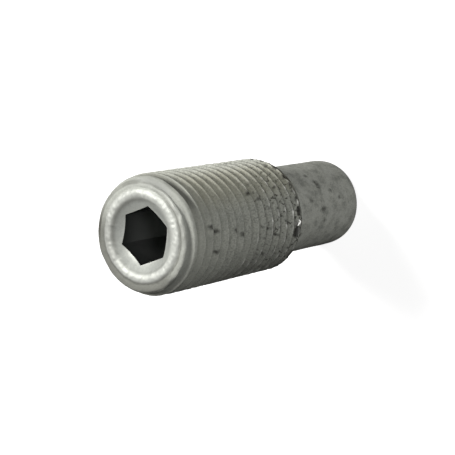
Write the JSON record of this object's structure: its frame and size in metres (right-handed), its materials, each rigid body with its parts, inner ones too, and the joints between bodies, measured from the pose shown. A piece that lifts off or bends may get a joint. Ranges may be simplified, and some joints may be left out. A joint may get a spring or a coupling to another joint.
{
  "type": "stud bolt",
  "caption": "Steel stud bolt: a fine-threaded barrel with a hexagon socket in its end face, stepped down at a shoulder to a plain cylindrical pin.",
  "frame": {"origin": "centre of the pin's end face, on which the stud stands", "axes": "+Z along the stud's axis, from the pin's end to the socket end; +X through two opposite corners of the hexagon"},
  "size_m": [0.014, 0.014, 0.0385],
  "materials": {
    "stud": "dull zinc-flake grey, slightly green, fine mottling, a few dark pits and stains"
  },
  "bodies": {
    "root": {"stud": "stud"}
  },
  "joints": []
}
